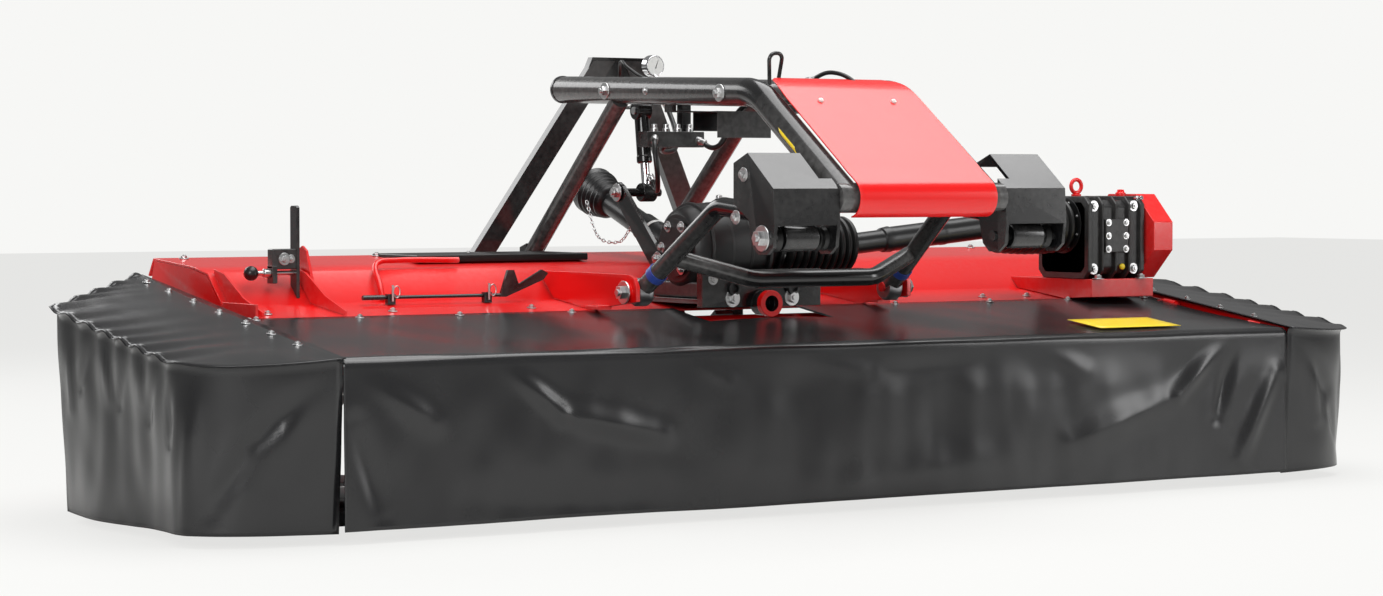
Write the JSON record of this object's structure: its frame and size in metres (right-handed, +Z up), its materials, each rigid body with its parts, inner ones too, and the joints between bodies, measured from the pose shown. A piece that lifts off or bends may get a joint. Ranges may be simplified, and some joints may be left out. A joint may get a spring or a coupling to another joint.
{
  "type": "front disc mower",
  "caption": "Front-mounted disc mower pulled by two arms under a coupling headstock, with a flail conditioner under its hood and folding tarpaulin side covers.",
  "frame": {"origin": "on the floor, under the centre of the whole machine's box", "axes": "+Z up; -Y the way the machine travels, with the tractor at +Y; +X to the right seen from the front skirt, towards the side gearbox"},
  "size_m": [3.824, 1.917, 1.257],
  "materials": {
    "black": "satin paint",
    "cast": "painted casting",
    "chrome": "polished",
    "plastic": "satin",
    "red": "gloss paint",
    "rubber": "matt",
    "steel": "worn",
    "tarpaulin": "coated, glossy"
  },
  "bodies": {
    "machine": {"arm_hoop": "black", "arm_lug_left": "red", "arm_lug_right": "red", "belt_cover": "red", "centre_bellows": "rubber", "centre_carrier": "black", "centre_gearbox": "cast", "conditioner_hood": "red", "coupling_frame": "black", "cover_latch": "black", "cross_shaft": "plastic", "cutter_bar": "steel", "end_plate_left": "red", "end_plate_right": "red", "front_skirt": "tarpaulin", "head_hood": "red", "headstock": "black", "hood_rib": "red", "hose_tray": "black", "knife_tool": "black", "lift_cylinder": "black", "lift_lever": "black", "lifting_eye": "red", "pressure_gauge": "chrome", "pto_shaft": "plastic", "pull_arm_left": "black", "pull_arm_right": "black", "pull_bracket_left": "black", "pull_bracket_right": "black", "side_bellows": "rubber", "side_gearbox": "cast", "side_gearbox_base": "red", "skirt_frame": "red", "swath_board_left": "red", "swath_board_right": "red", "valve_block": "black"},
    "side_cover_left": {"side_cover_left": "tarpaulin", "cover_frame_left": "red"},
    "side_cover_right": {"side_cover_right": "tarpaulin", "cover_frame_right": "red"},
    "disc_1": {"disc_1": "steel"},
    "disc_2": {"disc_2": "steel"},
    "disc_3": {"disc_3": "steel"},
    "disc_4": {"disc_4": "steel"},
    "disc_5": {"disc_5": "steel"},
    "disc_6": {"disc_6": "steel"},
    "disc_7": {"disc_7": "steel"},
    "disc_8": {"disc_8": "steel"},
    "conditioner_rotor": {"conditioner_rotor": "black"},
    "parking_leg_left": {"parking_leg_left": "black"},
    "parking_leg_right": {"parking_leg_right": "black"}
  },
  "joints": [
    {"name": "side_cover_left_hinge", "type": "hinge", "parent": "machine", "child": "side_cover_left", "pos_m": [-1.548, -0.1215, 0.51253], "axis": [0, 0.9903, 0.1386], "range_deg": [0, 90]},
    {"name": "side_cover_right_hinge", "type": "hinge", "parent": "machine", "child": "side_cover_right", "pos_m": [1.548, -0.1215, 0.51253], "axis": [0, -0.9903, -0.1386], "range_deg": [0, 90]},
    {"name": "disc_1_spin", "type": "hinge", "parent": "machine", "child": "disc_1", "pos_m": [-1.47, -0.1415, 0.105], "axis": [0, 0, 1], "continuous": true},
    {"name": "disc_2_spin", "type": "hinge", "parent": "machine", "child": "disc_2", "pos_m": [-1.05, -0.1415, 0.105], "axis": [0, 0, 1], "continuous": true},
    {"name": "disc_3_spin", "type": "hinge", "parent": "machine", "child": "disc_3", "pos_m": [-0.63, -0.1415, 0.105], "axis": [0, 0, 1], "continuous": true},
    {"name": "disc_4_spin", "type": "hinge", "parent": "machine", "child": "disc_4", "pos_m": [-0.21, -0.1415, 0.105], "axis": [0, 0, 1], "continuous": true},
    {"name": "disc_5_spin", "type": "hinge", "parent": "machine", "child": "disc_5", "pos_m": [0.21, -0.1415, 0.105], "axis": [0, 0, 1], "continuous": true},
    {"name": "disc_6_spin", "type": "hinge", "parent": "machine", "child": "disc_6", "pos_m": [0.63, -0.1415, 0.105], "axis": [0, 0, 1], "continuous": true},
    {"name": "disc_7_spin", "type": "hinge", "parent": "machine", "child": "disc_7", "pos_m": [1.05, -0.1415, 0.105], "axis": [0, 0, 1], "continuous": true},
    {"name": "disc_8_spin", "type": "hinge", "parent": "machine", "child": "disc_8", "pos_m": [1.47, -0.1415, 0.105], "axis": [0, 0, 1], "continuous": true},
    {"name": "rotor_spin", "type": "hinge", "parent": "machine", "child": "conditioner_rotor", "pos_m": [0, 0.4185, 0.375], "axis": [1, 0, 0], "continuous": true},
    {"name": "parking_leg_left_fold", "type": "hinge", "parent": "machine", "child": "parking_leg_left", "pos_m": [-0.53, 0.7725, 0.59], "axis": [1, 0, 0], "range_deg": [0, 90]},
    {"name": "parking_leg_right_fold", "type": "hinge", "parent": "machine", "child": "parking_leg_right", "pos_m": [0.53, 0.7725, 0.59], "axis": [1, 0, 0], "range_deg": [0, 90]}
  ],
  "couplings": [
    {"joint": "disc_2_spin", "follows": "disc_1_spin", "ratio": -1},
    {"joint": "disc_3_spin", "follows": "disc_1_spin", "ratio": 1},
    {"joint": "disc_4_spin", "follows": "disc_1_spin", "ratio": -1},
    {"joint": "disc_5_spin", "follows": "disc_1_spin", "ratio": 1},
    {"joint": "disc_6_spin", "follows": "disc_1_spin", "ratio": -1},
    {"joint": "disc_7_spin", "follows": "disc_1_spin", "ratio": 1},
    {"joint": "disc_8_spin", "follows": "disc_1_spin", "ratio": -1}
  ]
}
